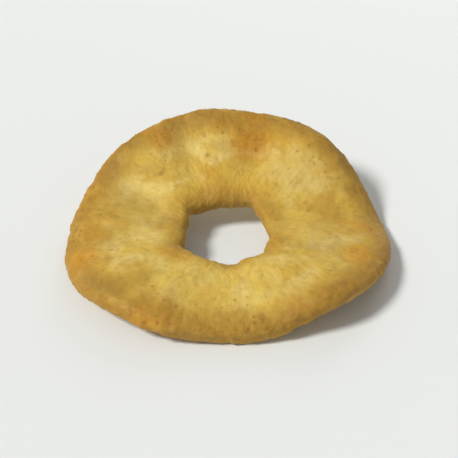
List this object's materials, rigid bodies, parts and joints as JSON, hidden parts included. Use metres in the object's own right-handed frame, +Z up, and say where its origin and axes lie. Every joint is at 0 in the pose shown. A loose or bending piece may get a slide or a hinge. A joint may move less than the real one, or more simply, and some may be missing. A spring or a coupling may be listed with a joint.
{
  "type": "dried apple ring",
  "caption": "Ring-shaped slice of peeled, cored and dried apple, with soft rounded rims, shallow creases and one side curled up.",
  "frame": {"origin": "on the surface that the ring rests on, under the middle of its bounding box", "axes": "+Z up from the surface, +Y towards the side that curls up, +X across the ring, along its longest extent"},
  "size_m": [0.0682, 0.0604, 0.0177],
  "materials": {
    "apple_flesh": "matte, leathery dried fruit flesh, golden tan with darker rims"
  },
  "bodies": {
    "root": {"apple_ring": "apple_flesh"}
  },
  "joints": []
}
